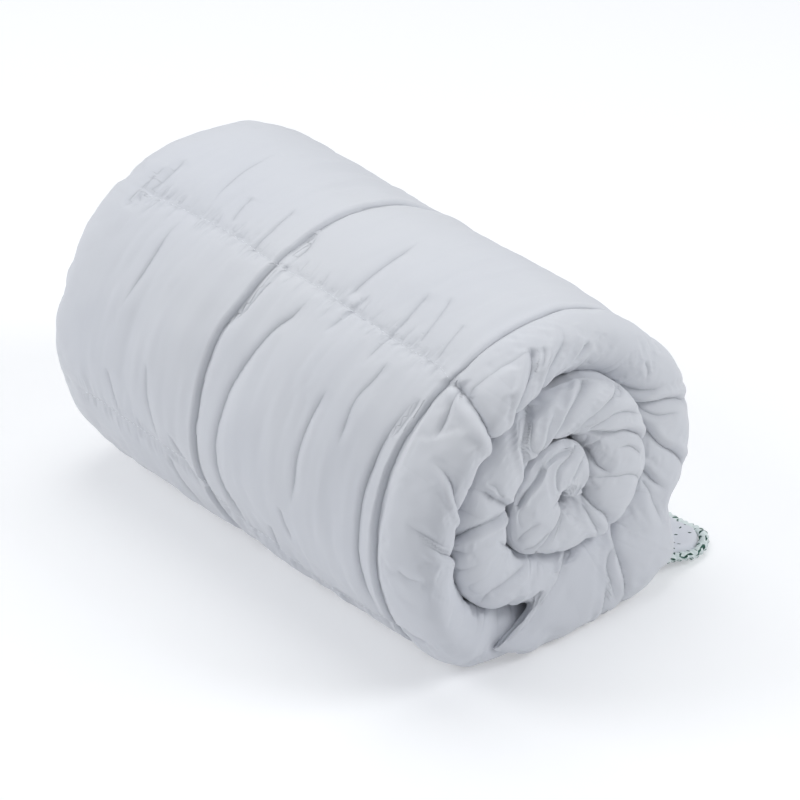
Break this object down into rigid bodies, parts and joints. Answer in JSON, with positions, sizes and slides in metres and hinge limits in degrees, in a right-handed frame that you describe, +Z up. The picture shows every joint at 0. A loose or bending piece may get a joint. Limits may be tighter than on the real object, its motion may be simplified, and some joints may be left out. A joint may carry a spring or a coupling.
{
  "type": "rolled quilt",
  "caption": "Padded box-quilted bed quilt, folded to one width and wound into a roll with its bound edge lying out flat.",
  "frame": {"origin": "middle of the flat patch that the roll rests on, on the floor plane", "axes": "+X along the roll's length, towards the end that shows the open turns; +Y to the side where the loose end lies; +Z up"},
  "size_m": [0.5508, 0.3921, 0.3018],
  "materials": {
    "shell": "smooth brushed microfibre",
    "panel": "smooth microfibre with sparse leaf sprigs",
    "binding": "gathered printed cotton"
  },
  "bodies": {
    "root": {"quilt_roll": "shell", "loose_end": "panel", "edge_binding": "binding"}
  },
  "joints": []
}
